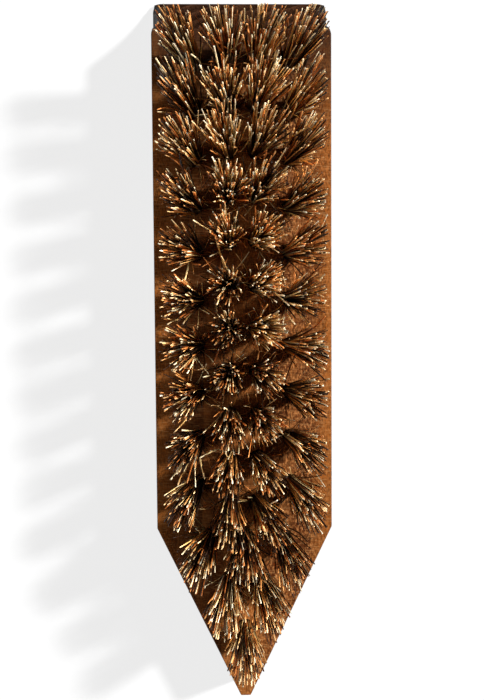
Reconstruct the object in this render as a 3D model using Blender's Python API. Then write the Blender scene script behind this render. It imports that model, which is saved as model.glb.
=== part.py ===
"""Cleaning brush: a stained wooden block with a sawn point, and 48 tufts of coarse plant fibre.

The block lies on its flat back with the bristles up. Its length runs along Y and the point
looks towards -Y. Every tuft is a bundle of fibres folded in half over a wire staple and driven
into a blind hole, so each tuft is its own solid: root, staple and strands.
"""

import math
import random

import bmesh
import bpy
from mathutils import Matrix, Vector

# Driving sizes, in metres
LENGTH = 0.180
WIDTH = 0.045
THICKNESS = 0.014

# Block
POINT_LENGTH = 0.0444
TIP_WIDTH = 0.0025
TIP_ROUNDING = 0.0008
REAR_RAKE = 0.0095
BACK_ROUNDING = 0.0022
EDGE_BAND = 0.0014
GROOVE_DEPTH = 0.0012
CORNER_ROUNDING = 0.0012
BACK_ROUNDING_STEPS = 4
GROOVE_STEPS = 8
CORNER_STEPS = 2

# Holes and tuft roots
HOLE_DIAMETER = 0.0048
HOLE_DEPTH = 0.0090
ROOT_CLEARANCE = 0.0003
HOLE_SIDES = 12

# Staple, which shows below the fold of the bundle
STAPLE_HEIGHT = 0.0008
STAPLE_WIDTH = 0.0011

# Strands
BRISTLE_LENGTH = 0.019
TRIM_UNEVENNESS = 0.0008
STRAND_GAP = 0.00012
STRANDS_PER_TUFT = 10
TIP_SIZE_SHARE = 0.85

# Tuft rows: outer and inner columns along the straight part, then rows in the point
OUTER_COLUMN_SHARE = 0.547
INNER_COLUMN_SHARE = 0.160
OUTER_ROWS = 10
INNER_ROWS = 11
OUTER_FIRST_FROM_RAKE = 0.0081
INNER_FIRST_FROM_RAKE = 0.0075
OUTER_LAST_BEFORE_POINT = 0.0114
INNER_LAST_BEFORE_POINT = 0.0066

# Rows in the point: place from the tip as a share of the point's length, and the columns as
# shares of half the width
POINT_ROW_SHARES = {"point_a": 0.946, "point_b": 0.687, "point_c": 0.405}
POINT_COLUMN_SHARES = {
    "point_a": {"left": -0.413, "middle": 0.0, "right": 0.413},
    "point_b": {"left": -0.182, "right": 0.182},
    "point_c": {"middle": 0.0},
}

# Lean of the tufts, as sideways travel per unit of height
REAR_LEAN_SHARE = 0.29
FRONT_LEAN_SHARE = 0.125
OUTER_FLARE_SHARE = 0.163

# Spread of the strands' ends: the gap that neighbouring tufts keep at their ends, and the two
# rings of ends as shares of the way from where a strand rises to the most that this gap leaves
TIP_GAP = 0.0003
OUTER_RING_SHARE = 0.88
INNER_RING_SHARE = 0.12
RING_JITTER_SHARE = 0.12
TURN_JITTER = math.radians(6)

CUT_OVERRUN = 0.002
SAME_FACE_ANGLE = math.radians(1)
SEED = 7

ROOT_RADIUS = HOLE_DIAMETER / 2 - ROOT_CLEARANCE
# Each strand rises from a wedge of the root, whose middle is two thirds of the way to the rim
ROOT_RIM = ROOT_RADIUS * math.cos(math.pi / STRANDS_PER_TUFT)
WEDGE_MIDDLE = ROOT_RIM * 2 / 3
HALF_WIDTH = WIDTH / 2
REAR_Y = LENGTH / 2
TIP_Y = -LENGTH / 2
SHOULDER_Y = TIP_Y + POINT_LENGTH
RAKE_Y = REAR_Y - REAR_RAKE


def remove_everything():
    for item in list(bpy.data.objects):
        bpy.data.objects.remove(item, do_unlink=True)


def principled(name, colour, roughness):
    material = bpy.data.materials.new(name)
    material.use_nodes = True
    shader = material.node_tree.nodes["Principled BSDF"]
    shader.inputs["Base Color"].default_value = (*colour, 1.0)
    shader.inputs["Roughness"].default_value = roughness
    shader.inputs["Metallic"].default_value = 0.0
    return material


def object_from(bm, name, material):
    bmesh.ops.recalc_face_normals(bm, faces=bm.faces)
    mesh = bpy.data.meshes.new(name)
    bm.to_mesh(mesh)
    bm.free()
    mesh.materials.append(material)
    item = bpy.data.objects.new(name, mesh)
    bpy.context.collection.objects.link(item)
    return item


def side_profile():
    """Right half of the block's cross-section, from its back up to the bristle face."""
    points = []
    for step in range(BACK_ROUNDING_STEPS + 1):
        angle = math.pi / 2 * step / BACK_ROUNDING_STEPS
        points.append((
            HALF_WIDTH - BACK_ROUNDING + BACK_ROUNDING * math.sin(angle),
            BACK_ROUNDING - BACK_ROUNDING * math.cos(angle),
        ))
    # The finger groove is an arc of its own chord and depth
    chord = THICKNESS - EDGE_BAND - BACK_ROUNDING
    radius = (chord * chord / 4 + GROOVE_DEPTH * GROOVE_DEPTH) / (2 * GROOVE_DEPTH)
    reach = math.asin(chord / 2 / radius)
    for step in range(1, GROOVE_STEPS + 1):
        angle = reach * (2 * step / GROOVE_STEPS - 1)
        points.append((
            HALF_WIDTH - GROOVE_DEPTH + radius - radius * math.cos(angle),
            BACK_ROUNDING + chord / 2 + radius * math.sin(angle),
        ))
    points.append((HALF_WIDTH, THICKNESS))
    return points


def moulded_bar():
    """The profile drawn out along Y, as the wood leaves the moulding machine."""
    bm = bmesh.new()
    half = side_profile()
    outline = half + [(-x, z) for x, z in reversed(half)]
    corners = [bm.verts.new((x, TIP_Y - CUT_OVERRUN, z)) for x, z in outline]
    face = bm.faces.new(corners)
    drawn = bmesh.ops.extrude_face_region(bm, geom=[face], use_keep_orig=True)
    far_side = [v for v in drawn["geom"] if isinstance(v, bmesh.types.BMVert)]
    bmesh.ops.translate(bm, verts=far_side, vec=(0, LENGTH + 2 * CUT_OVERRUN, 0))
    return bm


def saw(bm, point, normal):
    """One straight saw cut: what lies on the normal's side falls away, and the cut is closed."""
    geometry = bm.verts[:] + bm.edges[:] + bm.faces[:]
    bmesh.ops.bisect_plane(bm, geom=geometry, plane_co=point, plane_no=normal, clear_outer=True)
    open_edges = [edge for edge in bm.edges if edge.is_boundary]
    bmesh.ops.edgeloop_fill(bm, edges=open_edges)


def round_side_edges(bm, end_normal, amount):
    """Rounds the edges where a sawn end, known by its normal, meets the two sides of the block."""
    bmesh.ops.recalc_face_normals(bm, faces=bm.faces)
    end = {face for face in bm.faces if face.normal.dot(end_normal) > math.cos(SAME_FACE_ANGLE)}
    chosen = []
    for edge in bm.edges:
        beside = [face for face in edge.link_faces if face not in end]
        if len(beside) == 1 and abs(beside[0].normal.x) > abs(beside[0].normal.z):
            chosen.append(edge)
    bmesh.ops.bevel(bm, geom=chosen, offset=amount, offset_type="OFFSET", segments=CORNER_STEPS,
                    profile=0.5, affect="EDGES", clamp_overlap=True, material=-1)


def make_block(material):
    """The bar with its raked rear end, its blunt tip and the two facets of its point."""
    bm = moulded_bar()
    rake_normal = Vector((0, THICKNESS, REAR_RAKE)).normalized()
    tip_normal = Vector((0, -1, 0))
    half_tip = TIP_WIDTH / 2
    saw(bm, (0, REAR_Y, 0), rake_normal)
    saw(bm, (0, TIP_Y, 0), tip_normal)
    for side in (-1, 1):
        saw(bm, (side * half_tip, TIP_Y, 0), (side * POINT_LENGTH, half_tip - HALF_WIDTH, 0))
    round_side_edges(bm, tip_normal, TIP_ROUNDING)
    round_side_edges(bm, rake_normal, CORNER_ROUNDING)
    return object_from(bm, "handle_block", material)


def column_rows(rows, first, last):
    """Places along Y of one column's tufts, from the raked end towards the point."""
    start = RAKE_Y - first
    end = SHOULDER_Y + last
    return [start + (end - start) * row / (rows - 1) for row in range(rows)]


def tuft_places():
    """Name and place of the mouth of each tuft's hole."""
    places = []
    outer = column_rows(OUTER_ROWS, OUTER_FIRST_FROM_RAKE, OUTER_LAST_BEFORE_POINT)
    inner = column_rows(INNER_ROWS, INNER_FIRST_FROM_RAKE, INNER_LAST_BEFORE_POINT)
    for label, share, rows in (
        ("outer_left", -OUTER_COLUMN_SHARE, outer),
        ("inner_left", -INNER_COLUMN_SHARE, inner),
        ("inner_right", INNER_COLUMN_SHARE, inner),
        ("outer_right", OUTER_COLUMN_SHARE, outer),
    ):
        for number, y in enumerate(rows, start=1):
            places.append((f"tuft_{label}_{number:02d}", share * HALF_WIDTH, y))
    for label, row_share in POINT_ROW_SHARES.items():
        y = TIP_Y + row_share * POINT_LENGTH
        for column, share in POINT_COLUMN_SHARES[label].items():
            places.append((f"tuft_{label}_{column}", share * HALF_WIDTH, y))
    return places


def lean_at(x, y):
    """Travel per unit of height: outwards with x, backwards at the rear and forwards in the point."""
    first = RAKE_Y - INNER_FIRST_FROM_RAKE
    last = TIP_Y + POINT_ROW_SHARES["point_c"] * POINT_LENGTH
    eased = math.sin(math.pi / 2 * (first - y) / (first - last))
    outwards = OUTER_FLARE_SHARE * x / (HALF_WIDTH * OUTER_COLUMN_SHARE)
    return outwards, REAR_LEAN_SHARE - (REAR_LEAN_SHARE + FRONT_LEAN_SHARE) * eased


def lean(bm, slopes):
    """Leans a shape that stands on the hole's mouth, which is its own zero height."""
    bmesh.ops.transform(bm, matrix=Matrix.Shear("XY", 4, slopes), verts=bm.verts)


def drill_holes(block, places):
    """One blind hole for each tuft, drilled at the tuft's own lean."""
    holes = bmesh.new()
    for _, x, y in places:
        hole = bmesh.new()
        bmesh.ops.create_cone(hole, cap_ends=True, segments=HOLE_SIDES, radius1=HOLE_DIAMETER / 2,
                              radius2=HOLE_DIAMETER / 2, depth=HOLE_DEPTH + CUT_OVERRUN)
        middle = (CUT_OVERRUN - HOLE_DEPTH) / 2
        bmesh.ops.translate(hole, verts=hole.verts, vec=(0, 0, middle))
        lean(hole, lean_at(x, y))
        bmesh.ops.translate(hole, verts=hole.verts, vec=(x, y, THICKNESS))
        mesh = bpy.data.meshes.new("hole")
        hole.to_mesh(mesh)
        hole.free()
        holes.from_mesh(mesh)
        bpy.data.meshes.remove(mesh)
    cutter = object_from(holes, "hole_cutter", block.data.materials[0])
    cutter.hide_render = True
    cutter.display_type = "WIRE"
    drilled = block.modifiers.new("drilled holes", "BOOLEAN")
    drilled.operation = "DIFFERENCE"
    drilled.solver = "EXACT"
    drilled.object = cutter


def spread_room():
    """How far the middle of a strand's end may lie from its tuft's middle, short of the next tuft."""
    across = 2 * INNER_COLUMN_SHARE * HALF_WIDTH
    across += 2 * OUTER_FLARE_SHARE * INNER_COLUMN_SHARE / OUTER_COLUMN_SHARE * BRISTLE_LENGTH
    inner = column_rows(INNER_ROWS, INNER_FIRST_FROM_RAKE, INNER_LAST_BEFORE_POINT)
    beyond_middle = (ROOT_RIM - WEDGE_MIDDLE) * TIP_SIZE_SHARE
    return (min(across, inner[0] - inner[1]) - TIP_GAP) / 2 - beyond_middle


def make_tuft(name, x, y, room, material, chance):
    """Root in the hole with the staple across its fold, and the strands that rise from it."""
    root_depth = HOLE_DEPTH - STAPLE_HEIGHT - ROOT_CLEARANCE
    bm = bmesh.new()
    bmesh.ops.create_cone(bm, cap_ends=True, segments=STRANDS_PER_TUFT, radius1=ROOT_RADIUS,
                          radius2=ROOT_RADIUS, depth=root_depth)
    bmesh.ops.translate(bm, verts=bm.verts, vec=(0, 0, -root_depth / 2))
    fold = min(bm.faces, key=lambda face: face.calc_center_median().z)
    mouth = max(bm.faces, key=lambda face: face.calc_center_median().z)

    # The fold narrows to the staple that nips it
    staple = bmesh.ops.extrude_discrete_faces(bm, faces=[fold])["faces"][0]
    narrow = STAPLE_WIDTH / (2 * ROOT_RADIUS)
    squeeze = Matrix.Diagonal((narrow, 1, 1, 1))
    bmesh.ops.transform(bm, matrix=squeeze, verts=staple.verts)
    bmesh.ops.translate(bm, verts=staple.verts, vec=(0, 0, -STAPLE_HEIGHT))

    # One strand rises from each wedge of the mouth
    wedges = bmesh.ops.poke(bm, faces=[mouth])["faces"]
    bmesh.ops.inset_individual(bm, faces=wedges, thickness=STRAND_GAP / 2)
    ends = bmesh.ops.extrude_discrete_faces(bm, faces=wedges)["faces"]
    ends.sort(key=lambda face: math.atan2(*face.calc_center_median().yx))
    for number, end in enumerate(ends):
        centre = end.calc_center_median()
        ring = OUTER_RING_SHARE if number % 2 else INNER_RING_SHARE
        ring += chance.uniform(-RING_JITTER_SHARE, RING_JITTER_SHARE)
        turn = math.atan2(centre.y, centre.x) + chance.uniform(-TURN_JITTER, TURN_JITTER)
        spread = WEDGE_MIDDLE + ring * (room - WEDGE_MIDDLE)
        target = Vector((spread * math.cos(turn), spread * math.sin(turn), 0))
        target.z = BRISTLE_LENGTH - chance.uniform(0, TRIM_UNEVENNESS)
        bmesh.ops.scale(bm, verts=end.verts, vec=(TIP_SIZE_SHARE,) * 3,
                        space=Matrix.Translation(-centre))
        bmesh.ops.translate(bm, verts=end.verts, vec=target - centre)

    lean(bm, lean_at(x, y))
    tuft = object_from(bm, name, material)
    tuft.location = (x, y, THICKNESS)
    return tuft


def main():
    remove_everything()
    stained_wood = principled("stained wood", (0.012, 0.011, 0.010), 0.45)
    fibre = principled("plant fibre", (0.36, 0.19, 0.07), 0.60)
    places = tuft_places()
    block = make_block(stained_wood)
    drill_holes(block, places)
    room = spread_room()
    chance = random.Random(SEED)
    for name, x, y in places:
        make_tuft(name, x, y, room, fibre, chance)


main()
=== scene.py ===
# %% [markdown]
# # Finishing a cleaning brush
# The brush is a block of black-stained wood with a sawn point. Its upper face is left bare, and 48
# tufts of coarse plant fibre stand in it. The plain solids already hold every size and place, so
# this script only makes the surfaces that an eye would look for: softened edges, wood grain, and
# thousands of single fibres. It runs from top to bottom in Blender, and each cell prints what it
# made or measured.

# %% Load the plain solids
import math
import random

import bmesh
import bpy
from mathutils import Matrix, Vector


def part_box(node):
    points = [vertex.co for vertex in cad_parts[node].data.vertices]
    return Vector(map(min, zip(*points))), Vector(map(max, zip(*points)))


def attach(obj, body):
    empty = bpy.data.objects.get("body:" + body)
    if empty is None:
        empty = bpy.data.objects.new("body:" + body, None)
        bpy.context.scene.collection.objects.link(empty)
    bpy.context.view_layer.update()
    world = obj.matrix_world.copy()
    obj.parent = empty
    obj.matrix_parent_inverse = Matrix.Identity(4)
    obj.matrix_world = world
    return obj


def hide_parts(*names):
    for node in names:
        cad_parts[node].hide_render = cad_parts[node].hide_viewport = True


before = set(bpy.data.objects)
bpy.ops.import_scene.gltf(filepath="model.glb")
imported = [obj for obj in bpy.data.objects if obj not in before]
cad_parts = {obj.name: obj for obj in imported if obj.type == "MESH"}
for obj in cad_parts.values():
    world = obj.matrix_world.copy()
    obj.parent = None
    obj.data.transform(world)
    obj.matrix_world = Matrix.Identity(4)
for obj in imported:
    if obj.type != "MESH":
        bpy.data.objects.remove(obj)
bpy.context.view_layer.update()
tuft_nodes = sorted(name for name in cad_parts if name.startswith("tuft_"))
print("tufts in the frame:", len(tuft_nodes))

# %% [markdown]
# ## Sizes of the block
# The outer sizes are read from the plain block, so the finished one can't drift away from it. The
# smaller ones, such as the groove's depth, are the block's own design sizes, written here in
# metres. The last two only help with the work: how far a cutter reaches past the block, and how
# near two heights have to be to count as one.

# %% Read the block's sizes
block_low, block_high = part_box("handle_block")
HALF_WIDTH = block_high.x
REAR_Y = block_high.y
TIP_Y = block_low.y
THICKNESS = block_high.z
POINT_LENGTH = 0.0444
TIP_WIDTH = 0.0025
HALF_TIP = TIP_WIDTH / 2
REAR_RAKE = 0.0095
BACK_ROUNDING = 0.0022
EDGE_BAND = 0.0014
GROOVE_DEPTH = 0.0012
CORNER_ROUNDING = 0.0012
EDGE_SOFTENING = 0.00022
HOLE_RADIUS = 0.0024
HOLE_DEPTH = 0.0090
OVERRUN = 0.002
SAME_HEIGHT = 0.00005
print(f"block {2 * HALF_WIDTH:.3f} x {REAR_Y - TIP_Y:.3f} x {THICKNESS:.3f} m")

# %% [markdown]
# ## Where each tuft stands and leans
# A tuft leaves its hole in the bristle face and ends in a level trim. In the plain solid these are
# two flat groups of points, at the face's height and near the top. Their middles give the tuft's
# place and its lean, and reading them beats typing 48 places again.


# %% Read the tufts' axes
def middle(points):
    return sum(points, Vector()) / len(points)


def tuft_axis(node):
    """Middle of the hole's mouth, and of the trimmed ends in the top quarter."""
    points = [vertex.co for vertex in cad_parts[node].data.vertices]
    top = max(point.z for point in points)
    mouth = [point for point in points if abs(point.z - THICKNESS) < SAME_HEIGHT]
    ends = [point for point in points if point.z > (THICKNESS + 3 * top) / 4]
    return middle(mouth), middle(ends)


tuft_axes = {node: tuft_axis(node) for node in tuft_nodes}
BRISTLE_TOP = max(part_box(node)[1].z for node in tuft_nodes)
print(f"bristles stand {BRISTLE_TOP - THICKNESS:.4f} m above the face")

# %% [markdown]
# ## The block's shape
# The real block is a moulded bar: its long back edges are rounded and a shallow groove for the
# fingers runs along each side. A cube is drawn out to the bar, its two back edges are beveled, and
# cuts along the sides give the rows of points that are pushed inwards to hollow the groove.
# Sculpting could do the same, but the arc of a moulding cutter is exact, so a formula suits it.


# %% Mould the bar
GROOVE_STEPS = 20
ROUNDING_STEPS = 8
GROOVE_CHORD = THICKNESS - EDGE_BAND - BACK_ROUNDING


def arc_depth(z):
    """How deep the finger groove is at this height: an arc of its own chord and depth."""
    half_chord = GROOVE_CHORD / 2
    radius = (half_chord**2 + GROOVE_DEPTH**2) / (2 * GROOVE_DEPTH)
    off_middle = z - BACK_ROUNDING - half_chord
    return max(0.0, math.sqrt(radius**2 - off_middle**2) - radius + GROOVE_DEPTH)


def cut(bm, point, normal, clear=False):
    geometry = bm.verts[:] + bm.edges[:] + bm.faces[:]
    bmesh.ops.bisect_plane(bm, geom=geometry, plane_co=point, plane_no=normal, clear_outer=clear)
    if clear:
        bmesh.ops.edgeloop_fill(bm, edges=[edge for edge in bm.edges if edge.is_boundary])


def round_edges(bm, edges, amount, steps):
    bmesh.ops.bevel(bm, geom=edges, offset=amount, segments=steps, profile=0.5, affect="EDGES",
                    material=-1)


def runs_along_back(edge):
    first, second = (vertex.co for vertex in edge.verts)
    return max(first.z, second.z) < SAME_HEIGHT and abs(first.x - second.x) < SAME_HEIGHT


def moulded_bar():
    bm = bmesh.new()
    bmesh.ops.create_cube(bm, size=1)
    bmesh.ops.translate(bm, verts=bm.verts, vec=(0, 0, 0.5))
    length = REAR_Y - TIP_Y + 2 * OVERRUN
    bmesh.ops.scale(bm, verts=bm.verts, vec=(2 * HALF_WIDTH, length, THICKNESS))
    back = [edge for edge in bm.edges if runs_along_back(edge)]
    round_edges(bm, back, BACK_ROUNDING, ROUNDING_STEPS)
    for step in range(1, GROOVE_STEPS + 1):
        cut(bm, (0, 0, BACK_ROUNDING + GROOVE_CHORD * step / GROOVE_STEPS), (0, 0, 1))
    for vertex in bm.verts:
        if BACK_ROUNDING < vertex.co.z < THICKNESS - EDGE_BAND:
            vertex.co.x -= math.copysign(arc_depth(vertex.co.z), vertex.co.x)
    return bm


bar = moulded_bar()
print("moulded bar:", len(bar.faces), "faces")

# %% [markdown]
# ## Saw cuts and softened edges
# Four saw cuts shape the ends: the raked rear, the blunt tip and the two facets of the point.
# Cutting with planes leaves the facets truly flat and gives the groove its scalloped ends for
# nothing. The upright corners of the rear are rounded. Every sharp edge then gets a narrow bevel,
# because no sanded edge is a perfect line, and it is this bevel that catches the light.


# %% Saw the ends and soften the edges
SAME_DIRECTION = math.cos(math.radians(1))
STEEP = 2
SHARP = math.radians(24)
CORNER_STEPS = 4
SOFTENING_STEPS = 2
MERGE_DISTANCE = 1e-6


def upright_corners(bm, end_normal):
    """The edges where a sawn end meets the two sides, and not the rounded back."""
    end = {face for face in bm.faces if face.normal.dot(end_normal) > SAME_DIRECTION}
    found = []
    for edge in bm.edges:
        beside = [face for face in edge.link_faces if face not in end]
        if len(beside) == 1 and abs(beside[0].normal.x) > STEEP * abs(beside[0].normal.z):
            found.append(edge)
    return found


def saw_ends(bm):
    rake = Vector((0, THICKNESS, REAR_RAKE)).normalized()
    cut(bm, (0, REAR_Y, 0), rake, clear=True)
    cut(bm, (0, TIP_Y, 0), (0, -1, 0), clear=True)
    for side in (-1, 1):
        facet = (side * POINT_LENGTH, HALF_TIP - HALF_WIDTH, 0)
        cut(bm, (side * HALF_TIP, TIP_Y, 0), facet, clear=True)
    bmesh.ops.recalc_face_normals(bm, faces=bm.faces)
    round_edges(bm, upright_corners(bm, rake), CORNER_ROUNDING, CORNER_STEPS)
    bmesh.ops.recalc_face_normals(bm, faces=bm.faces)
    sharp = [edge for edge in bm.edges if edge.calc_face_angle(0) > SHARP]
    round_edges(bm, sharp, EDGE_SOFTENING, SOFTENING_STEPS)
    bmesh.ops.remove_doubles(bm, verts=bm.verts, dist=MERGE_DISTANCE)
    bmesh.ops.recalc_face_normals(bm, faces=bm.faces)


saw_ends(bar)
print("sawn block:", len(bar.faces), "faces")

# %% [markdown]
# ## Drilled holes
# Each tuft stands in a blind hole drilled along the tuft's own lean. Drilling is what a Boolean
# does: one cutter mesh holds all 48 slanted cylinders, and the Difference is applied to the
# block's mesh at once.


# %% Drill the holes
HOLE_SIDES = 20


def new_object(name, bm):
    mesh = bpy.data.meshes.new(name)
    bm.to_mesh(mesh)
    bm.free()
    item = bpy.data.objects.new(name, mesh)
    bpy.context.scene.collection.objects.link(item)
    return item


def hole_cutters():
    drills = bmesh.new()
    for mouth, ends in tuft_axes.values():
        slope = (ends - mouth) / (ends.z - mouth.z)
        drill = bmesh.ops.create_cone(drills, cap_ends=True, segments=HOLE_SIDES,
                                      radius1=HOLE_RADIUS, radius2=HOLE_RADIUS,
                                      depth=HOLE_DEPTH + OVERRUN)["verts"]
        bmesh.ops.translate(drills, verts=drill, vec=(0, 0, (OVERRUN - HOLE_DEPTH) / 2))
        shear = Matrix.Shear("XY", 4, (slope.x, slope.y))
        bmesh.ops.transform(drills, verts=drill, matrix=shear)
        bmesh.ops.translate(drills, verts=drill, vec=mouth)
    return new_object("hole_cutters", drills)


def drill_holes(item):
    cutters = hole_cutters()
    holes = item.modifiers.new("holes", "BOOLEAN")
    holes.object = cutters
    holes.operation = "DIFFERENCE"
    holes.solver = "EXACT"
    graph = bpy.context.evaluated_depsgraph_get()
    drilled = bpy.data.meshes.new_from_object(item.evaluated_get(graph))
    item.modifiers.remove(holes)
    item.data = drilled
    bpy.data.objects.remove(cutters)


block = new_object("block", bar)
drill_holes(block)
print("drilled block:", len(block.data.polygons), "faces")

# %% [markdown]
# ## Material helpers
# Every finish here is a small tree of nodes, and built by hand each would take dozens of lines.
# These helpers keep the trees short: they add a node, link or fill its sockets, do sums, and map
# or blend values and colours.


# %% Node helpers
def add(tree, kind, **settings):
    """Adds a node. A setting named like an input fills that input, by a value or by a link."""
    node = tree.nodes.new(kind)
    for key, value in settings.items():
        name = key.replace("_", " ")
        if name in node.inputs:
            fill(tree, node.inputs[name], value)
        else:
            setattr(node, key, value)
    return node


def fill(tree, socket, value):
    if isinstance(value, bpy.types.NodeSocket):
        tree.links.new(value, socket)
    else:
        socket.default_value = value


def math_node(tree, operation, *values):
    node = add(tree, "ShaderNodeMath", operation=operation)
    for socket, value in zip(node.inputs, values):
        fill(tree, socket, value)
    return node.outputs[0]


def mix_colours(tree, share, first, second, blend="MIX"):
    node = add(tree, "ShaderNodeMix", data_type="RGBA", blend_type=blend)
    sockets = node.inputs[0], node.inputs[6], node.inputs[7]
    for socket, value in zip(sockets, (share, first, second)):
        fill(tree, socket, value)
    return node.outputs[2]


def stretch(tree, value, over, onto):
    """Maps one range of a value onto another, and holds it at both ends."""
    return add(tree, "ShaderNodeMapRange", Value=value, From_Min=over[0], From_Max=over[1],
               To_Min=onto[0], To_Max=onto[1]).outputs[0]


def ramp(tree, value, stops):
    node = add(tree, "ShaderNodeValToRGB", Fac=value)
    band = node.color_ramp
    while len(band.elements) < len(stops):
        band.elements.new(1)
    for element, (place, colour) in zip(band.elements, stops):
        element.position = place
        element.color = (*colour, 1)
    return node.outputs["Color"]


print("node helpers: add, fill, math_node, mix_colours, stretch, ramp")

# %% [markdown]
# ## Patterns and materials
# A few more helpers make what several finishes share: the object's own coordinates, noise, a plain
# grey, and a new material with its shader. The object's own coordinates are chosen because a
# pattern laid on them stays with the piece wherever it goes. Squeezing them along one direction
# draws a pattern out in that direction.


# %% Pattern helpers
def coordinates(tree):
    return add(tree, "ShaderNodeTexCoord").outputs["Object"]


def squeezed(tree, place, scale):
    return add(tree, "ShaderNodeMapping", Vector=place, Scale=scale).outputs[0]


def noise(tree, place, **settings):
    return add(tree, "ShaderNodeTexNoise", Vector=place, **settings).outputs["Fac"]


def grey(tree, value):
    return add(tree, "ShaderNodeCombineColor", Red=value, Green=value, Blue=value).outputs[0]


def new_material(name, roughness, sheen):
    material = bpy.data.materials.new(name)
    material.use_nodes = True
    shader = material.node_tree.nodes["Principled BSDF"]
    shader.inputs["Roughness"].default_value = roughness
    shader.inputs["Specular IOR Level"].default_value = sheen
    return material, material.node_tree, shader


print("pattern helpers: coordinates, squeezed, noise, grey, new_material")

# %% [markdown]
# ## Wood grain
# A plank is cut from a log, so its growth rings are cylinders round the log's middle, which lies
# well outside the brush. The Wave texture's rings do exactly this when a Mapping node moves that
# middle to the texture's origin. So one pattern gives lengthwise lines on the back, slanting lines
# on the facets and end grain on the raked end, all meeting at the edges as they do in real wood.
# The pores are a second pattern, fine noise drawn out along Y into dashes, and a third one makes
# broad soft clouds, because no plank is evenly dark.


# %% Grain patterns
RING_MIDDLE = (0.046, 0.0, 0.079)
RING_SPACING = 0.0038
RING_LEAN = 0.045
RING_WANDER = (0.0024, 0, 0.0024)
ALONG_THE_GRAIN = (1, 0.2, 1)
# A ring texture of scale 1 repeats each pi/10 metres
RINGS_PER_SCALE = math.pi / 10


def grain(tree):
    """Ring, pore and cloud patterns, each from 0 to 1, that run through the whole block."""
    place = coordinates(tree)
    along = squeezed(tree, place, ALONG_THE_GRAIN)
    drift = add(tree, "ShaderNodeTexNoise", Vector=along, Scale=110.0, Detail=1.0,
                Roughness=0.5).outputs["Color"]
    wander = add(tree, "ShaderNodeVectorMath", operation="MULTIPLY_ADD")
    for socket, value in zip(wander.inputs, (drift, RING_WANDER, place)):
        fill(tree, socket, value)
    from_middle = add(tree, "ShaderNodeMapping", Vector=wander.outputs[0],
                      Rotation=(0, 0, RING_LEAN),
                      Location=tuple(-part for part in RING_MIDDLE)).outputs[0]
    rings = add(tree, "ShaderNodeTexWave", Vector=from_middle, wave_type="RINGS",
                rings_direction="Y", wave_profile="SAW",
                Scale=RINGS_PER_SCALE / RING_SPACING).outputs["Fac"]
    pores = noise(tree, along, Scale=4200.0, Detail=2.0, Roughness=0.6)
    clouds = noise(tree, along, Scale=260.0, Detail=3.0, Roughness=0.6)
    return rings, pores, clouds


print(f"growth rings {RING_SPACING * 1000:.1f} mm apart")

# %% [markdown]
# ## Black stain
# The stain is nearly black, yet the grain still shows: the late wood at the end of each year's
# ring takes less colour and reads as a thin grey line with one sharp side, which fades away on the
# other. The saw-tooth ring pattern has that same sharp side. Pores show as fine lighter dashes all
# over, and they also change the roughness and give a slight relief. How light the dashes are is a
# short table, so one function can make every kind of stain that the block has.


# %% Black stain
NEARLY_BLACK = (1.0, 0.98, 0.97)
BROWN_BLACK = (1.0, 0.41, 0.20)
LINE_HEIGHT = 0.3


def black_stain(name, tones, line_tone, sheen=0.0, tint=NEARLY_BLACK):
    """Tones are pairs: a value of the pore pattern, and how light the stain is there."""
    material, tree, shader = new_material(name, roughness=0.45, sheen=sheen)
    rings, pores, clouds = grain(tree)
    dashes = ramp(tree, pores, [(at, [tone * part for part in tint]) for at, tone in tones])
    fade = stretch(tree, rings, over=(0.35, 0.96), onto=(0.65, 1.6))
    patches = stretch(tree, clouds, over=(0.3, 0.7), onto=(0.7, 1.3))
    shade = grey(tree, math_node(tree, "MULTIPLY", fade, patches))
    colour = mix_colours(tree, 1.0, dashes, shade, blend="MULTIPLY")
    line = stretch(tree, rings, over=(0.93, 0.98), onto=(0.0, 1.0))
    broken = stretch(tree, pores, over=(0.35, 0.6), onto=(0.1, 0.95))
    line_colour = (*[line_tone * part for part in tint], 1)
    colour = mix_colours(tree, math_node(tree, "MULTIPLY", line, broken), colour, line_colour)
    fill(tree, shader.inputs["Base Color"], colour)
    fill(tree, shader.inputs["Roughness"], stretch(tree, pores, over=(0.3, 0.7), onto=(0.32, 0.52)))
    height = math_node(tree, "MULTIPLY_ADD", line, LINE_HEIGHT, pores)
    relief = add(tree, "ShaderNodeBump", Strength=0.6, Distance=0.00012, Height=height)
    fill(tree, shader.inputs["Normal"], relief.outputs[0])
    return material


print("tints of the stain:", NEARLY_BLACK, BROWN_BLACK)

# %% [markdown]
# ## Four kinds of stain
# The back has the plain stain. In the grooves the stain is laid lighter, as painted sheen, and has
# a little real sheen too.
# The facets are cut across the grain, where open pores drink more stain, so they are darker,
# calmer and without any sheen. The raked end was sanded along with the bristle face, so brown
# shows through its stain.

# %% Make the stains
BACK_TONES = ((0.35, 0.0003), (0.45, 0.0011), (0.51, 0.0042), (0.58, 0.021), (0.67, 0.090),
              (0.75, 0.15))
# Painted sheen: the grooves' tones are lighter than the back's, standing in for the highlight along
# the groove.
GROOVE_SHEEN_TONES = ((0.36, 0.0006), (0.45, 0.0034), (0.51, 0.012), (0.57, 0.036), (0.66, 0.12),
                (0.75, 0.22))
FACET_TONES = ((0.38, 0.0016), (0.50, 0.0042), (0.60, 0.0115), (0.72, 0.034))
REAR_TONES = ((0.36, 0.009), (0.48, 0.030), (0.58, 0.058), (0.72, 0.11))

back_stain = black_stain("black-stained wood", BACK_TONES, line_tone=0.085, sheen=0.03)
# The grooves' stain is lighter as painted sheen, with a little real sheen too.
groove_painted_sheen = black_stain("black stain with painted sheen", GROOVE_SHEEN_TONES, line_tone=0.12, sheen=0.05)
facet_stain = black_stain("black-stained facet", FACET_TONES, line_tone=0.036)
rear_stain = black_stain("rubbed end grain", REAR_TONES, line_tone=0.12, tint=BROWN_BLACK)
print("nodes in a stain:", len(back_stain.node_tree.nodes))
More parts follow.
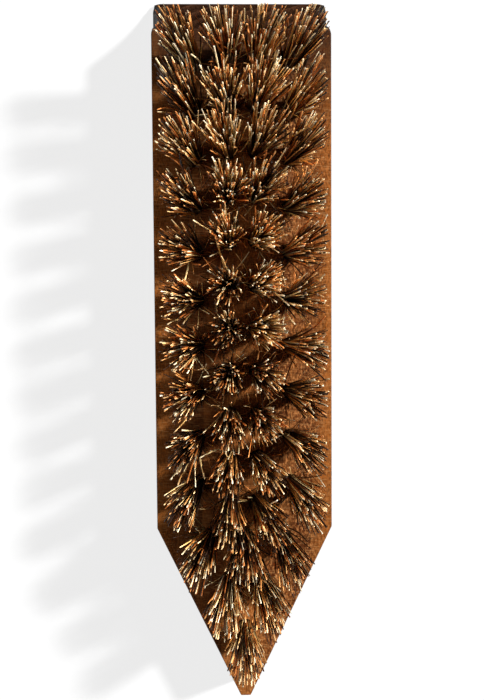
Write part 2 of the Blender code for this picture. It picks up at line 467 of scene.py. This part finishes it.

# %% [markdown]
# ## Bare wood
# The bristle face was sanded after staining, so it shows the wood's own warm brown. It has the
# same rings and pores, at a low contrast, and fine scratches across it that the sanding left. It is
# laid paler in the middle and at the rims, as painted light on wood that the tufts shade, and
# darker towards the rear, as painted shade under the leaning rear tufts. Dark and light specks lie
# over it, mostly on its right half where the key light falls: the specks are the wood's own, their
# placing is painted light. Each of these is a colour laid over the last one by its own share. An
# image of such wood would be quicker, but patterns have no seams and stay sharp from close by.

# %% Bare wood
WOOD_TONES = ((0.25, (0.052, 0.0118, 0.0024)), (0.5, (0.108, 0.0275, 0.0056)),
              (0.75, (0.235, 0.074, 0.021)))
# Painted light: paler wood laid over the middle strip and the rims, where the tufts shade it.
MIDDLE_PAINTED_LIGHT = (0.36, 0.115, 0.024)
RIM_PAINTED_LIGHT = (0.38, 0.115, 0.018)
DARK_PORE = (0.075, 0.022, 0.004)
LATE_WOOD = (0.41, 0.140, 0.030)
SCRATCH = (0.56, 0.29, 0.11)
DARK_SPECK = (0.048, 0.011, 0.002)
LIGHT_SPECK = (0.60, 0.245, 0.075)
# Painted shade: a near-black brown laid over the rear of the face.
REAR_PAINTED_SHADE = (0.022, 0.0085, 0.0040)
ALONG_A_SCRATCH = (0.06, 1, 1)
# Mapping scales before it turns: scratches run along X, and the turn hides the noise's own grid
SCRATCH_TURN = 0.9
SPECK_SHAPE = (1, 0.45, 1)


def wood_marks_and_painted_light(tree, rings, pores, clouds):
    """The marks on the bare wood, with its painted light and shade, in the order they lie: each
    one's share and its colour.
    """
    place = coordinates(tree)
    x, y, _ = add(tree, "ShaderNodeSeparateXYZ", Vector=place).outputs
    off_middle = math_node(tree, "ABSOLUTE", x)
    # Painted light: the middle strip is laid paler, lifting wood that the inner tufts shade.
    yield stretch(tree, off_middle, over=(0.0030, 0.0070), onto=(0.80, 0.0)), MIDDLE_PAINTED_LIGHT
    # Painted light: the rims are laid paler, lifting wood that the outer tufts shade.
    yield stretch(tree, off_middle, over=(0.0170, 0.0212), onto=(0.0, 0.8)), RIM_PAINTED_LIGHT
    yield stretch(tree, pores, over=(0.41, 0.57), onto=(0.78, 0.0)), DARK_PORE
    yield stretch(tree, rings, over=(0.5, 1.0), onto=(0.0, 0.30)), LATE_WOOD
    across = add(tree, "ShaderNodeMapping", Vector=place, Rotation=(0, 0, SCRATCH_TURN),
                 Scale=ALONG_A_SCRATCH).outputs[0]
    scratches = noise(tree, across, Scale=6500.0, Detail=1.0, Distortion=0.4)
    yield stretch(tree, scratches, over=(0.55, 0.66), onto=(0.0, 0.42)), SCRATCH
    specks = noise(tree, squeezed(tree, place, SPECK_SHAPE), Scale=2000.0, Detail=2.0,
                   Roughness=0.7)
    # The specks are the wood's own marks, but they are laid mostly on the right half, where the key
    # light falls, and less at the rims: their placing is painted light.
    specks_where_lit = math_node(tree, "MULTIPLY", stretch(tree, x, over=(-0.006, 0.009), onto=(0.25, 1.0)),
                      stretch(tree, off_middle, over=(0.0165, 0.0195), onto=(1.0, 0.4)))
    dark = stretch(tree, specks, over=(0.34, 0.48), onto=(0.90, 0.0))
    yield math_node(tree, "MULTIPLY", specks_where_lit, dark), DARK_SPECK
    light = stretch(tree, specks, over=(0.53, 0.66), onto=(0.0, 0.72))
    yield math_node(tree, "MULTIPLY", specks_where_lit, light), LIGHT_SPECK
    # Painted shade: the face is laid darker towards the rear, under the leaning rear tufts.
    rear = stretch(tree, y, over=(0.052, 0.078), onto=(0.0, 0.95))
    patchy = stretch(tree, clouds, over=(0.3, 0.7), onto=(1.0, 0.75))
    yield math_node(tree, "MULTIPLY", rear, patchy), REAR_PAINTED_SHADE


def bare_wood():
    material, tree, shader = new_material("bare wood", roughness=0.55, sheen=0.06)
    rings, pores, clouds = grain(tree)
    colour = ramp(tree, clouds, WOOD_TONES)
    for share, mark in wood_marks_and_painted_light(tree, rings, pores, clouds):
        colour = mix_colours(tree, share, colour, (*mark, 1))
    fill(tree, shader.inputs["Base Color"], colour)
    fill(tree, shader.inputs["Roughness"],
         stretch(tree, clouds, over=(0.3, 0.7), onto=(0.48, 0.62)))
    relief = add(tree, "ShaderNodeBump", Strength=0.5, Distance=0.0001, Height=pores)
    fill(tree, shader.inputs["Normal"], relief.outputs[0])
    return material


bare_finish = bare_wood()
print("nodes in the bare wood:", len(bare_finish.node_tree.nodes))

# %% [markdown]
# ## Finishing the block
# The block's mesh gets its five finishes face by face, from where a face lies and where it looks:
# bare wood on the bristle face and in the holes, and the four stains on the facets, the raked end,
# the grooves and all the rest. Painting them by hand would be lost with the next change of shape.
# The curved stretches are shaded smooth, while the edges of the large flat faces stay sharp, so
# that their shading is flat right up to the bevel.

# %% Finish the block
finishes = [back_stain, bare_finish, facet_stain, rear_stain, groove_painted_sheen]
STAINED, BARE, FACET, REAR, GROOVE = range(len(finishes))
FLAT_FACE_AREA = 0.0002
LOOKS_UP = 0.6
LOOKS_ENDWAYS = 0.4
LOOKS_SIDEWAYS = 0.5
SQUARE_TO_SIDE = 0.1
FLAT_SHADING = math.radians(15)


def finish_of(face):
    """Which of the five finishes a face of the block gets."""
    across, along, up = face.normal
    x, _, z = face.center
    if abs(along) > LOOKS_ENDWAYS and face.area > FLAT_FACE_AREA:
        return REAR if along > 0 else FACET
    inner = abs(x) < HALF_WIDTH - GROOVE_DEPTH - SAME_HEIGHT and face.area < FLAT_FACE_AREA
    in_hole = inner and SAME_HEIGHT < z < THICKNESS and abs(up) < LOOKS_UP
    if abs(across) > LOOKS_SIDEWAYS and abs(along) < SQUARE_TO_SIDE and not in_hole:
        return GROOVE
    if z > THICKNESS - EDGE_SOFTENING and up > LOOKS_UP:
        return BARE
    nearest = min((face.center - mouth).length for mouth, _ in tuft_axes.values())
    return BARE if in_hole and nearest < HOLE_DEPTH else STAINED


def finish_block(item):
    mesh = item.data
    mesh.materials.clear()
    for material in finishes:
        mesh.materials.append(material)
    for face in mesh.polygons:
        face.material_index = finish_of(face)
    mesh.shade_smooth()
    mesh.set_sharp_from_angle(angle=FLAT_SHADING)


finish_block(block)
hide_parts("handle_block")
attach(block, "root")
bare_faces = sum(face.material_index == BARE for face in block.data.polygons)
print("bare faces:", bare_faces, "of", len(block.data.polygons))

# %% [markdown]
# ## The fibres
# A tuft is a bundle of stiff plant fibres, folded in half, so 120 ends stand up from each hole.
# Blender's hair would be quick, but it isn't a mesh, and a real object wants real shapes. So each
# fibre is a slim prism of five sides that follows a curve of its own. The curve is pulled from a
# straight line towards one point, which bends it, and is then bowed a little to one side.

# %% Curves for the fibres
FIBRE_STEPS = 7


def smooth_path(start, bend, end, bow):
    """Points on a curve from start to end that is pulled towards bend and bowed to one side."""
    points = []
    for step in range(FIBRE_STEPS + 1):
        share = step / FIBRE_STEPS
        straight = (1 - share) ** 2 * start + 2 * share * (1 - share) * bend + share**2 * end
        points.append(straight + bow * math.sin(math.pi * share))
    return points


print("points on a fibre's curve:", FIBRE_STEPS + 1)

# %% [markdown]
# ## Room for the ends
# On the real brush the ends stop about level with the block's edges. They could be trimmed there
# with a cutter, but that would leave a straight hedge. So an end that would stand out is moved back
# inside a smaller outline with the same point, and a random margin of up to 1.4 mm keeps that
# border ragged. The camera stands a little to the left, which swings tall ends over the right edge
# in the picture, so the right side gets a wider margin.

# %% Hold the ends inside
SIDE_LIMIT = 0.0210
FRONT_LIMIT = 0.0838
REAR_LIMIT = 0.0824
RAGGED = 0.0014
FACET_MARGIN, NARROWEST = 0.0028, 0.0024
RIGHT_MARGIN, NARROWEST_RIGHT = 0.0011, 0.0016


def held_inside(point, chance):
    """Keeps an end from standing far out over the block's edge."""
    ragged = chance.uniform(0, RAGGED)
    y = max(ragged - FRONT_LIMIT, min(REAR_LIMIT - ragged, point.y))
    facet = HALF_TIP + (y - TIP_Y) * (HALF_WIDTH - HALF_TIP) / POINT_LENGTH
    side = min(SIDE_LIMIT, max(facet - FACET_MARGIN, NARROWEST)) - chance.uniform(0, RAGGED)
    right = min(side, max(side - RIGHT_MARGIN, NARROWEST_RIGHT))
    return Vector((max(-side, min(right, point.x)), y, point.z))


print(f"room for the ends: {2 * SIDE_LIMIT:.3f} x {FRONT_LIMIT + REAR_LIMIT:.3f} m")

# %% [markdown]
# ## How a tuft splays
# The roots are packed the way seeds sit in a sunflower, each turned on from the last by the golden
# angle, and the ends follow the same order in a wider oval fan. Wear has splayed the tufts most at
# the rear and in the point, and least in the middle of the face. Inside a fan the ends draw
# together in clumps, which breaks up a pattern that would look too even.

# %% Fan and clumps
GOLDEN_TURN = math.pi * (3 - math.sqrt(5))
SPREAD_ACROSS = 0.0044
SPREAD_ALONG = 0.0056
ACROSS_BASE = 0.93
REAR_SPLAY = 0.32
POINT_SPLAY = 0.36
MIDDLE_PINCH = 0.16
REAR_FROM, REAR_REACH = 0.020, 0.045
POINT_FROM, POINT_REACH = 0.040, 0.014
MIDDLE_TO, MIDDLE_REACH = 0.040, 0.012
INNER_COLUMNS = 0.006
CLUMPS_PER_TUFT = 15
TUFT_WIDTHS = (0.80, 1.18)
TUFT_TURNS = (-0.3, 0.3)
CLUMP_STRAY, CLUMP_TURN = 0.12, 0.25


def ramped(value, start, reach):
    """0 up to start, 1 from start + reach on, and even in between."""
    return max(0, min(1, (value - start) / reach))


def oval(across, along, turn):
    return Vector((across * math.cos(turn), along * math.sin(turn), 0))


def splay(mouth, share, turn):
    """A place in a tuft's fan, at a share of its full spread."""
    rear = ramped(mouth.y, REAR_FROM, REAR_REACH)
    point = ramped(-mouth.y, POINT_FROM, POINT_REACH)
    inner = abs(mouth.x) < INNER_COLUMNS
    centre = ramped(-abs(mouth.y), -MIDDLE_TO, MIDDLE_REACH) if inner else 0
    wider = ACROSS_BASE + REAR_SPLAY * rear + POINT_SPLAY * point
    return oval(SPREAD_ACROSS * wider * share, SPREAD_ALONG * (1 - MIDDLE_PINCH * centre) * share,
                turn)


def clump_ends(mouth, chance):
    """Where the ends of a tuft draw together. No two tufts splay alike."""
    width, turn = chance.uniform(*TUFT_WIDTHS), chance.uniform(*TUFT_TURNS)
    ends = []
    for number in range(CLUMPS_PER_TUFT):
        share = math.sqrt((number + 0.5) / CLUMPS_PER_TUFT) * width * chance.gauss(1, CLUMP_STRAY)
        own_turn = number * GOLDEN_TURN + turn + chance.gauss(0, CLUMP_TURN)
        ends.append(splay(mouth, share, own_turn))
    return ends


print("clumps in a tuft:", CLUMPS_PER_TUFT)

# %% [markdown]
# ## Bristles
# A bristle starts inside the hole and runs along the tuft's lean to its place in the fan. Most are
# drawn towards the nearest clump. A few are worn short, and a few have strayed: they lean out
# further, end lower and are bowed more. Copies of one bristle would look combed, so each of them
# draws its own numbers.

# %% Run a bristle
BRISTLES_PER_TUFT = 120
BUNDLE_RADIUS = 0.0021
BURIED = 0.0012
CROWDING = 0.8
TURN_STRAY = 0.12
SPREAD_STRAY, LEAST_SPREAD = 0.22, 0.3
TRIM_STRAY = 0.0006
BOW = 0.00028
BEND_AT, BEND_INWARDS = 0.45, 0.0004
WORN_BELOW, WORN_HEIGHTS = 0.13, (0.62, 0.95)
STRAY_BELOW, STRAY_HEIGHTS = 0.22, (0.7, 0.99)
STRAY_SPREADS = (1.1, 1.8)
STRAY_TURN, STRAY_BOW = 0.6, 0.0011
CLUMP_PULL, PULLS = 0.34, (0.5, 1.3)


def circle(radius, turn):
    return oval(radius, radius, turn)


def bristle_path(number, mouth, axis, clumps, chance):
    """One bristle, from inside the hole to its cut end."""
    share = math.sqrt((number + 0.5) / BRISTLES_PER_TUFT)
    turn = number * GOLDEN_TURN + chance.gauss(0, TURN_STRAY)
    start = mouth + circle(BUNDLE_RADIUS * share, turn) - BURIED * axis
    spread = share**CROWDING * max(LEAST_SPREAD, chance.gauss(1, SPREAD_STRAY))
    height = BRISTLE_TOP - mouth.z - abs(chance.gauss(0, TRIM_STRAY))
    bow = BOW
    kind = chance.random()
    if kind < WORN_BELOW:
        height *= chance.uniform(*WORN_HEIGHTS)
    elif kind < STRAY_BELOW:
        spread *= chance.uniform(*STRAY_SPREADS)
        height *= chance.uniform(*STRAY_HEIGHTS)
        turn += chance.gauss(0, STRAY_TURN)
        bow = STRAY_BOW
    fan = splay(mouth, spread, turn)
    clump = min(clumps, key=lambda place: (place - fan).length)
    if kind >= STRAY_BELOW:
        fan = fan.lerp(clump, CLUMP_PULL * chance.uniform(*PULLS))
    end = held_inside(mouth + height * axis + fan, chance)
    bend = start.lerp(end, BEND_AT) + circle(BEND_INWARDS, turn + math.pi)
    sway = chance.gauss(0, bow)
    return smooth_path(start, bend, end, circle(sway, chance.uniform(0, math.tau)))


print("bristles in a tuft:", BRISTLES_PER_TUFT)

# %% [markdown]
# ## Fluff
# Thin loose fibres lie over the bare face between the tufts. They could be scattered by hand, but
# on the real brush they have worked loose from a tuft. So each one leaves a tuft's foot, arches
# outwards and ends lower than most bristles do.

# %% Run a bit of fluff
FLUFF_PER_TUFT = 20
FLUFF_FOOT = 0.0015
FLUFF_REACHES = (0.0025, 0.0095)
FLUFF_TURN = 0.5
FLUFF_RISES = (0.0004, 0.0125)
FLUFF_ARCHES = (0.0005, 0.0030)
FLUFF_BEND_AT = 0.4
FLUFF_BOW = 0.0005


def fluff_path(mouth, chance):
    """A thin loose fibre that leaves the tuft's foot and lies over the bare face."""
    turn = chance.uniform(0, math.tau)
    start = mouth + circle(FLUFF_FOOT, turn) - Vector((0, 0, BURIED))
    reach = chance.uniform(*FLUFF_REACHES)
    end = held_inside(mouth + circle(reach, turn + chance.gauss(0, FLUFF_TURN)), chance)
    end.z += chance.uniform(*FLUFF_RISES)
    bend = start.lerp(end, FLUFF_BEND_AT) + Vector((0, 0, chance.uniform(*FLUFF_ARCHES)))
    return smooth_path(start, bend, end, circle(chance.gauss(0, FLUFF_BOW), turn + math.pi / 2))


print("bits of fluff in a tuft:", FLUFF_PER_TUFT)

# %% [markdown]
# ## What a fibre remembers
# Each fibre has a thickness, a pick from the plant's colours, a lightness of its own and a cut end
# with its own slant. A fibre's brightness also depends on the step along it: it is darker low down,
# and higher up on fibres deep in the tuft, which is painted shade for the shadow inside the tuft. A
# small class holds all of this, because the fibre is asked for it again at every step while it
# grows.

# %% One fibre
SIDES = 5
TAPER = 0.2
LIGHTNESSES = (0.40, 1.78)
STEEPEST_SLANT = 1.3
# Painted shade: how high the darkened foot of a fibre reaches, and how dark it is.
SHADE_HEIGHT, SHADE_HEIGHT_DEEP = 0.08, 0.42
SHADE_FADE = 0.45
FOOT_LIGHT, FOOT_SHADE_DEEP = 0.34, 0.22
END_LIGHT = 1.12


class Fibre:
    """One fibre: its path, its thickness, its look and the slant of its cut end."""

    def __init__(self, path, radius, depth, gloom, chance):
        self.path = path
        self.radius = radius
        self.depth = depth
        self.pick = chance.random() ** gloom
        self.lightness = chance.uniform(*LIGHTNESSES)
        self.slant = chance.uniform(0, STEEPEST_SLANT)
        self.slant_turn = chance.uniform(0, math.tau)

    def corner(self, step, corner):
        """Where a corner of the fibre's ring lies at this step of its path."""
        before, after = self.path[max(step - 1, 0)], self.path[min(step + 1, FIBRE_STEPS)]
        square = Vector((0, 0, 1)).rotation_difference(after - before)
        turn = math.tau * corner / SIDES
        ring = circle(self.radius * (1 - TAPER * step / FIBRE_STEPS), turn)
        if step == FIBRE_STEPS:
            ring.z = self.radius * self.slant * math.cos(turn - self.slant_turn)
        return self.path[step] + square @ ring

    def brightness(self, step):
        # Painted shade: darker at the foot, and higher up on fibres deep in the tuft.
        shade_top = SHADE_HEIGHT + SHADE_HEIGHT_DEEP * self.depth
        foot = FOOT_LIGHT - FOOT_SHADE_DEEP * self.depth
        unshaded = ramped(step / FIBRE_STEPS, shade_top, SHADE_FADE)
        return self.lightness * (foot + (END_LIGHT - foot) * unshaded)

    def place(self, vertex, layers, step):
        vertex[layers["step"]] = step
        vertex[layers["look"]] = (self.pick, step / FIBRE_STEPS, self.brightness(step))
        vertex.co = self.corner(step, vertex[layers["corner"]])


print("faces on a fibre:", SIDES * FIBRE_STEPS + 2)

# %% [markdown]
# ## Growing a tuft
# Each fibre starts as a short closed prism, so its lower end is sealed. Its upper face is then
# pulled on from point to point, turned square to the path and tapered a little. All the fibres of
# a tuft are extruded by one operator call per step, and layers of numbers on the mesh say which
# fibre, corner and step a point belongs to. A layer called fibre carries three numbers to the
# material: one picks the fibre's colour, one is the share of the way along it, and one is its
# brightness there.


# %% Grow the tufts
def start_fibre(bm, number, fibre, layers):
    """A closed prism over the first step of the path. Returns its upper face."""
    made = bmesh.ops.create_cone(bm, cap_ends=True, segments=SIDES, radius1=1, radius2=1,
                                 depth=1)["verts"]
    for vertex in made:
        turns = math.atan2(vertex.co.y, vertex.co.x) / math.tau
        vertex[layers["corner"]] = round(turns * SIDES) % SIDES
        fibre.place(vertex, layers, 1 if vertex.co.z > 0 else 0)
    faces = {face for vertex in made for face in vertex.link_faces}
    for face in faces:
        face[layers["number"]] = number
    return next(face for face in faces if all(v[layers["step"]] == 1 for v in face.verts))


def grow_tuft(name, fibres):
    bm = bmesh.new()
    layers = {"number": bm.faces.layers.int.new("number"),
              "corner": bm.verts.layers.int.new("corner"),
              "step": bm.verts.layers.int.new("step"),
              "look": bm.verts.layers.float_vector.new("fibre")}
    tops = [start_fibre(bm, number, fibre, layers) for number, fibre in enumerate(fibres)]
    for step in range(2, FIBRE_STEPS + 1):
        tops = bmesh.ops.extrude_discrete_faces(bm, faces=tops)["faces"]
        for top in tops:
            for vertex in top.verts:
                fibres[top[layers["number"]]].place(vertex, layers, step)
    bmesh.ops.recalc_face_normals(bm, faces=bm.faces)
    unwrap(bm, len(fibres), layers)
    return new_object(name, bm)


print("fibres in a tuft:", BRISTLES_PER_TUFT + FLUFF_PER_TUFT)

# %% [markdown]
# ## Unwrapping a tuft
# When the model is exported its colours are baked to an image, and a tuft of loose prisms would be
# unwrapped into thousands of slivers. Here the layout is simple: each fibre gets a column of its
# own, its sides run up the column side by side, and its two ends get small patches below and above
# them.

# %% Unwrap in columns
PATCH_WIDTH, PATCH_HEIGHT = 0.35, 0.012
LOWER_PATCH, UPPER_PATCH = 0.02, 0.98
SIDES_FROM, SIDES_SPAN = 0.06, 0.88
FOOT_FROM, FOOT_SPAN = 0.05, 0.9


def place_in_column(step, corner, is_end):
    """Across and up, as shares of the fibre's column."""
    if is_end:
        turn = math.tau * corner / SIDES
        patch = LOWER_PATCH if step == 0 else UPPER_PATCH
        return 0.5 + PATCH_WIDTH * math.cos(turn), patch + PATCH_HEIGHT * math.sin(turn)
    return SIDES_FROM + SIDES_SPAN * corner / SIDES, FOOT_FROM + FOOT_SPAN * step / FIBRE_STEPS


def unwrap(bm, count, layers):
    uv = bm.loops.layers.uv.new("OFBake")
    for face in bm.faces:
        left = face[layers["number"]] / count
        corners = [vertex[layers["corner"]] for vertex in face.verts]
        steps = [vertex[layers["step"]] for vertex in face.verts]
        is_end = min(steps) == max(steps)
        wraps = not is_end and 0 in corners and SIDES - 1 in corners
        for loop, corner, step in zip(face.loops, corners, steps):
            across, up = place_in_column(step, SIDES if wraps and corner == 0 else corner, is_end)
            loop[uv].uv = (left + across / count, up)


print("columns in a tuft's layout:", BRISTLES_PER_TUFT + FLUFF_PER_TUFT)

# %% [markdown]
# ## The fibres' colours
# The fibres come from more than one part of the plant, so straw, orange-brown and nearly black
# ones stand side by side. One number per fibre runs through a colour ramp. A second ramp gives the
# cut end, which is paler because it has worn through the darker skin. The brightness that each
# fibre carries darkens its foot with painted shade, and fine flecks break up its colour.

# %% Plant fibre
FIBRE_COLOURS = ((0.0, (0.008, 0.004, 0.002)), (0.17, (0.022, 0.008, 0.003)),
                 (0.24, (0.16, 0.042, 0.009)), (0.38, (0.48, 0.145, 0.028)),
                 (0.52, (0.66, 0.29, 0.068)), (0.68, (0.79, 0.48, 0.165)),
                 (0.86, (0.94, 0.71, 0.330)), (1.0, (0.98, 0.86, 0.57)))
END_COLOURS = ((0.17, (0.030, 0.012, 0.005)), (0.30, (0.50, 0.155, 0.032)),
               (0.48, (0.94, 0.51, 0.190)), (0.68, (0.98, 0.80, 0.50)),
               (1.0, (0.98, 0.92, 0.78)))


def plant_fibre():
    material, tree, shader = new_material("plant fibre", roughness=0.42, sheen=0.22)
    numbers = add(tree, "ShaderNodeAttribute", attribute_name="fibre").outputs["Vector"]
    pick, along, brightness = add(tree, "ShaderNodeSeparateXYZ", Vector=numbers).outputs
    worn = stretch(tree, along, over=(0.80, 0.98), onto=(0.0, 0.52))
    colour = mix_colours(tree, worn, ramp(tree, pick, FIBRE_COLOURS),
                         ramp(tree, pick, END_COLOURS))
    flecks = noise(tree, coordinates(tree), Scale=900.0, Detail=2.0)
    uneven = stretch(tree, flecks, over=(0.3, 0.7), onto=(0.78, 1.18))
    # The brightness carries the fibre's painted shade at its foot.
    shade = grey(tree, math_node(tree, "MULTIPLY", uneven, brightness))
    colour = mix_colours(tree, 1.0, colour, shade, blend="MULTIPLY")
    fill(tree, shader.inputs["Base Color"], colour)
    fill(tree, shader.inputs["Roughness"],
         stretch(tree, flecks, over=(0.3, 0.7), onto=(0.34, 0.52)))
    return material


fibre_finish = plant_fibre()
print("nodes in the fibre's material:", len(fibre_finish.node_tree.nodes))

# %% [markdown]
# ## The lean and the mix of a tuft
# A used tuft lies over further than the plain solid does. It leans more outwards everywhere and
# more forwards near the point, and the inner column on the right has a lean of its own. Tufts
# aren't mixed alike either: a bigger gloom means more dark fibres. Part of the gloom is random. The
# rest follows from the place where a tuft stands: it is big along the right and on the left before
# the point, as painted shade, and small in the inner columns just behind the middle, as painted
# light. Both the lean and this gloom follow from the place where a tuft stands, so two short
# functions do instead of a table of 48 rows.

# %% Lean and gloom
LEAN_OUTWARDS = 1.4
LEAN_FORWARDS = 1.9
FORWARDS_FROM, FORWARDS_REACH = 0.012, 0.030
RIGHT_LEAN, INNER_RIGHT = 0.05, (0.001, 0.004)
OUTER_COLUMNS = 0.008
# Painted shade and light: gloom added where tufts should lie in shade, and taken away just behind
# the middle.
LEFT_GLOOM, RIGHT_GLOOM = 0.2, 0.45
POINT_GLOOM = 0.9
GLOOMY_AT, GLOOMY_REACH = -0.030, 0.026
LEFT_TO, LEFT_REACH = 0.010, 0.014
REAR_PAINTED_LIGHT, LIGHT_OUTSIDE = 0.45, 0.3
LIGHT_AT, LIGHT_REACH = 0.022, 0.022


def worn_lean(mouth, ends):
    """How far the tuft leans along X and Y for each metre that it rises."""
    axis = (ends - mouth) / (ends.z - mouth.z)
    inner_right = INNER_RIGHT[0] < mouth.x < INNER_RIGHT[1] and mouth.y > TIP_Y + POINT_LENGTH
    axis.x = axis.x * LEAN_OUTWARDS + (RIGHT_LEAN if inner_right else 0)
    axis.y *= 1 + (LEAN_FORWARDS - 1) * ramped(-mouth.y, FORWARDS_FROM, FORWARDS_REACH)
    return axis


def hump(value, peak, reach):
    """1 at the peak, and 0 from a reach away on."""
    return max(0, 1 - ((value - peak) / reach) ** 2)


def painted_shade_gloom(mouth):
    """Painted shade and light: how much darker than others a tuft's mix is made, from the place
    where it stands.
    """
    side = 0
    if abs(mouth.x) > OUTER_COLUMNS:
        side = LEFT_GLOOM if mouth.x < 0 else RIGHT_GLOOM
    left = ramped(-mouth.x, -LEFT_TO, LEFT_REACH)
    lighter = LIGHT_OUTSIDE if mouth.x < 0 else 0
    if abs(mouth.x) < INNER_COLUMNS:
        lighter = 1
    return (side + POINT_GLOOM * left * hump(mouth.y, GLOOMY_AT, GLOOMY_REACH)
            - REAR_PAINTED_LIGHT * lighter * hump(mouth.y, LIGHT_AT, LIGHT_REACH))


glooms = [painted_shade_gloom(mouth) for mouth, _ in tuft_axes.values()]
print(f"gloom from {min(glooms):.2f} to {max(glooms):.2f}")

# %% [markdown]
# ## Planting the tufts
# One seeded random source serves all the tufts, so the brush comes out the same each time. Each
# tuft replaces its plain solid and stays one piece, as it is on the real brush.

# %% Make and place every tuft
SEED = 11
LEAN_STRAY = 0.025
GLOOMS = (0.85, 1.8)
BRISTLE_RADIUS, BRISTLE_GIRTHS = 0.000178, (0.62, 1.35)
FLUFF_RADIUS, FLUFF_GIRTHS = 0.000072, (0.7, 2.0)
# How much painted shade a bit of fluff gets at its foot, as if it lay this deep in a tuft.
FLUFF_SHADE_DEPTH = 0.3
SMOOTH_FIBRE = math.radians(80)


def bristle(number, mouth, axis, clumps, gloom, chance):
    path = bristle_path(number, mouth, axis, clumps, chance)
    radius = BRISTLE_RADIUS * chance.uniform(*BRISTLE_GIRTHS)
    depth = 1 - math.sqrt(number / BRISTLES_PER_TUFT)
    return Fibre(path, radius, depth, gloom, chance)


def bit_of_fluff(mouth, gloom, chance):
    path = fluff_path(mouth, chance)
    radius = FLUFF_RADIUS * chance.uniform(*FLUFF_GIRTHS)
    return Fibre(path, radius, FLUFF_SHADE_DEPTH, gloom, chance)


def tuft_fibres(mouth, ends, chance):
    axis = worn_lean(mouth, ends)
    axis += Vector((chance.gauss(0, LEAN_STRAY), chance.gauss(0, LEAN_STRAY), 0))
    clumps = clump_ends(mouth, chance)
    # A random mix, plus painted shade and light from the tuft's place.
    gloom = chance.uniform(*GLOOMS) + painted_shade_gloom(mouth)
    bristles = [bristle(number, mouth, axis, clumps, gloom, chance)
                for number in range(BRISTLES_PER_TUFT)]
    return bristles + [bit_of_fluff(mouth, gloom, chance) for _ in range(FLUFF_PER_TUFT)]


chance = random.Random(SEED)
fibre_faces = 0
for node in tuft_nodes:
    fibres = tuft_fibres(*tuft_axes[node], chance)
    tuft = grow_tuft(node.replace("tuft_", "fibres_"), fibres)
    tuft.data.materials.append(fibre_finish)
    tuft.data.shade_smooth()
    tuft.data.set_sharp_from_angle(angle=SMOOTH_FIBRE)
    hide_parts(node)
    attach(tuft, "root")
    fibre_faces += len(tuft.data.polygons)
print("fibres:", fibre_faces, "faces in", len(tuft_nodes), "tufts")

# %% [markdown]
# ## Camera
# The photograph of the bristle side was taken close to the brush, from nearly straight above. A
# long lens would flatten the tufts, so the camera stands as near as the real one did: about 28 cm
# above the bristle face, turned a few degrees towards the point and rolled by half a degree.

# %% Camera
CAMERA_PLACE = (-0.0095, 0.0204, 0.2904)
TILT, PAN, ROLL = math.radians(-4.17), math.radians(-1.88), math.radians(-0.54)
FOCAL_PIXELS = 1089
FRAME_PIXELS = 700
SENSOR_HEIGHT = 36
NEAREST_SEEN = 0.01

camera_data = bpy.data.cameras.new("camera")
camera_data.sensor_fit = "VERTICAL"
camera_data.sensor_height = SENSOR_HEIGHT
camera_data.lens = SENSOR_HEIGHT * FOCAL_PIXELS / FRAME_PIXELS
camera_data.clip_start = NEAREST_SEEN
camera = bpy.data.objects.new("camera", camera_data)
camera.location = CAMERA_PLACE
aim = Matrix.Rotation(TILT, 3, "X") @ Matrix.Rotation(PAN, 3, "Y") @ Matrix.Rotation(ROLL, 3, "Z")
camera.rotation_euler = aim.to_euler()
bpy.context.scene.collection.objects.link(camera)
bpy.context.scene.camera = camera
print(f"lens {camera_data.lens:.1f} mm on a {camera_data.sensor_height:.0f} mm sensor")

# %% [markdown]
# ## Floor
# The floor only has to be pale and to carry a soft shadow. To the camera and in reflections it also
# shows some plain emission, so it reads as white without brighter lamps, which would burn out the
# straw-coloured fibres. The Light Path node tells those rays from the ones that light the brush.

# %% Pale floor
FLOOR_SIZE = 20
FLOOR_COLOUR = 0.2
FLOOR_GLOW = 0.8
WHITE = (1, 1, 1, 1)


def background_ray(tree):
    """1 where the camera, a reflection or a see-through surface looks at the background."""
    path = add(tree, "ShaderNodeLightPath")
    seen = math_node(tree, "MAXIMUM", path.outputs["Is Camera Ray"], path.outputs["Is Glossy Ray"])
    return math_node(tree, "MAXIMUM", seen, path.outputs["Is Transmission Ray"])


def pale_floor():
    bm = bmesh.new()
    bmesh.ops.create_grid(bm, x_segments=1, y_segments=1, size=FLOOR_SIZE)
    floor = new_object("floor", bm)
    material, tree, shader = new_material("pale floor", roughness=0.9, sheen=0.0)
    shader.inputs["Base Color"].default_value = (FLOOR_COLOUR,) * 3 + (1,)
    shader.inputs["Emission Color"].default_value = WHITE
    glow = math_node(tree, "MULTIPLY", background_ray(tree), FLOOR_GLOW)
    fill(tree, shader.inputs["Emission Strength"], glow)
    floor.data.materials.append(material)


pale_floor()
print("floor:", 2 * FLOOR_SIZE, "m wide")

# %% [markdown]
# ## Light
# The lamps are suns with a wide angle: they light near and far alike, as a big studio softbox
# does. One from the upper right makes the shape, a weak one fills the other side, and the world
# gives the rest. The world looks white behind the brush but lights it only a little.

# %% World and lamps
WORLD_LIGHT = 0.022


def pale_world():
    world = bpy.data.worlds.new("studio")
    world.use_nodes = True
    tree = world.node_tree
    shown = math_node(tree, "MULTIPLY_ADD", background_ray(tree), 1 - WORLD_LIGHT, WORLD_LIGHT)
    fill(tree, tree.nodes["Background"].inputs["Strength"], shown)
    tree.nodes["Background"].inputs["Color"].default_value = WHITE
    bpy.context.scene.world = world


def sun(name, direction, strength, spread):
    light = bpy.data.lights.new(name, "SUN")
    light.energy = strength
    light.angle = math.radians(spread)
    item = bpy.data.objects.new(name, light)
    item.rotation_euler = Vector(direction).to_track_quat("Z", "Y").to_euler()
    bpy.context.scene.collection.objects.link(item)


pale_world()
sun("key sun", direction=(0.78, 0.30, 0.60), strength=5.9, spread=6)
sun("fill sun", direction=(-0.94, -0.12, 0.32), strength=1.1, spread=30)
bpy.context.scene.view_settings.view_transform = "Standard"
